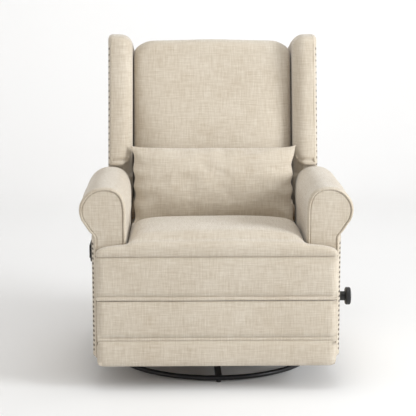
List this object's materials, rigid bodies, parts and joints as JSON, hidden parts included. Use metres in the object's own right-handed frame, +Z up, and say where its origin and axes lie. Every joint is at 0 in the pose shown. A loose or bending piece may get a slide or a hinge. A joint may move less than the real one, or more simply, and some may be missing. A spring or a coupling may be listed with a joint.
{
  "type": "glider nursery chair",
  "caption": "Upholstered wingback glider recliner with rolled arms, a swivel ring base, a fold-out footrest and a loose lumbar pillow.",
  "frame": {"origin": "on the floor, under the middle of the chair's outline", "axes": "+X across the chair, -Y the way the sitter faces, +Z up"},
  "size_m": [0.838, 0.91, 1.067],
  "materials": {
    "linen_fabric": "matte",
    "webbing": "matte",
    "timber": "matte",
    "black_metal": "satin",
    "zinc_steel": "satin",
    "black_plastic": "satin",
    "nail_metal": "satin"
  },
  "bodies": {
    "base": {"base_ring": "black_metal", "base_arms": "black_metal", "floor_glides": "black_plastic", "hub_spindle": "black_metal", "spindle_nut": "zinc_steel", "lower_race": "black_metal", "bearing_balls": "zinc_steel"},
    "swivel_frame": {"upper_race": "black_metal", "swivel_plate": "black_metal", "swivel_rails": "black_metal", "stanchions": "black_metal", "top_pivot_bolts": "zinc_steel"},
    "front_glide_links": {"glide_links_front": "black_metal"},
    "rear_glide_links": {"glide_links_rear": "black_metal"},
    "chair_body": {"glide_carriers": "black_metal", "bottom_pivot_bolts": "zinc_steel", "cross_rails": "black_metal", "mechanism_plates": "black_metal", "mechanism_fasteners": "zinc_steel", "side_boards": "timber", "seat_rails": "timber", "seat_webbing": "webbing", "seat_cushion": "linen_fabric", "front_border": "linen_fabric", "arm_pad_left": "linen_fabric", "arm_pad_right": "linen_fabric", "arm_front_left": "linen_fabric", "arm_front_right": "linen_fabric", "side_panel_left": "linen_fabric", "side_panel_right": "linen_fabric", "rear_panel": "linen_fabric", "release_bezel": "black_plastic", "paddle_pin": "zinc_steel", "lock_bush": "black_plastic", "body_nails": "nail_metal"},
    "paddle": {"release_paddle": "black_plastic"},
    "lock": {"lock_knob": "black_plastic", "lock_shaft": "zinc_steel"},
    "legrest_drive": {"drive_links": "black_metal", "drive_tube": "black_metal", "drive_rivets": "zinc_steel"},
    "legrest_front": {"front_links": "black_metal", "front_rivets": "zinc_steel"},
    "legrest_guides": {"guide_links": "black_metal"},
    "legrest_lifts": {"lift_links": "black_metal"},
    "footrest": {"footrest_brackets": "black_metal", "footrest_rivets": "zinc_steel", "footrest_board": "timber", "footrest_pad": "linen_fabric"},
    "backrest": {"back_stiles": "timber", "back_rails": "timber", "back_webbing": "webbing", "back_hinge_arms": "black_metal", "back_cushion": "linen_fabric", "rear_cover": "linen_fabric", "wing_left": "linen_fabric", "wing_right": "linen_fabric", "wing_nails": "nail_metal"},
    "pillow": {"lumbar_pillow": "linen_fabric"}
  },
  "joints": [
    {"name": "swivel", "type": "hinge", "parent": "base", "child": "swivel_frame", "pos_m": [0, -0.035, 0.06], "axis": [0, 0, 1], "continuous": true},
    {"name": "glide", "type": "hinge", "parent": "swivel_frame", "child": "front_glide_links", "pos_m": [0, -0.185, 0.225], "axis": [1, 0, 0], "range_deg": [-20, 20]},
    {"name": "body_level", "type": "hinge", "parent": "front_glide_links", "child": "chair_body", "pos_m": [0, -0.185, 0.11], "axis": [1, 0, 0], "range_deg": [-20, 20]},
    {"name": "rear_link_swing", "type": "hinge", "parent": "swivel_frame", "child": "rear_glide_links", "pos_m": [0, 0.115, 0.225], "axis": [1, 0, 0], "range_deg": [-20, 20]},
    {"name": "legrest_open", "type": "hinge", "parent": "chair_body", "child": "legrest_drive", "pos_m": [0, -0.15, 0.295], "axis": [-1, 0, 0], "range_deg": [0, 90]},
    {"name": "front_link_turn", "type": "hinge", "parent": "legrest_drive", "child": "legrest_front", "pos_m": [0, -0.1153, 0.098], "axis": [-1, 0, 0], "range_deg": [-90, 0]},
    {"name": "guide_turn", "type": "hinge", "parent": "chair_body", "child": "legrest_guides", "pos_m": [0, -0.185, 0.34], "axis": [-1, 0, 0], "range_deg": [0, 90]},
    {"name": "lift_turn", "type": "hinge", "parent": "legrest_drive", "child": "legrest_lifts", "pos_m": [0, -0.1257, 0.1571], "axis": [-1, 0, 0], "range_deg": [-90, 0]},
    {"name": "footrest_flip", "type": "hinge", "parent": "legrest_front", "child": "footrest", "pos_m": [0, -0.395, 0.195], "axis": [-1, 0, 0], "range_deg": [0, 90]},
    {"name": "recline", "type": "hinge", "parent": "chair_body", "child": "backrest", "pos_m": [0, 0.235, 0.345], "axis": [-1, 0, 0], "range_deg": [0, 25]},
    {"name": "paddle_pull", "type": "hinge", "parent": "chair_body", "child": "paddle", "pos_m": [-0.388, -0.34, 0.418], "axis": [0, 0, 1], "range_deg": [0, 35], "stiffness_Nm_per_rad": 1},
    {"name": "lock_turn", "type": "hinge", "parent": "chair_body", "child": "lock", "pos_m": [0.384, -0.366, 0.279], "axis": [1, 0, 0], "range_deg": [0, 90]},
    {"name": "pillow_lift", "type": "slide", "parent": "backrest", "child": "pillow", "axis": [0, 0.225, 0.9744], "range_m": [0, 0.25]}
  ],
  "couplings": [
    {"joint": "body_level", "follows": "glide", "ratio": -1},
    {"joint": "rear_link_swing", "follows": "glide", "ratio": 1},
    {"joint": "front_link_turn", "follows": "legrest_open", "ratio": -1},
    {"joint": "guide_turn", "follows": "legrest_open", "ratio": 1},
    {"joint": "lift_turn", "follows": "legrest_open", "ratio": -1},
    {"joint": "footrest_flip", "follows": "legrest_open", "ratio": 1}
  ]
}
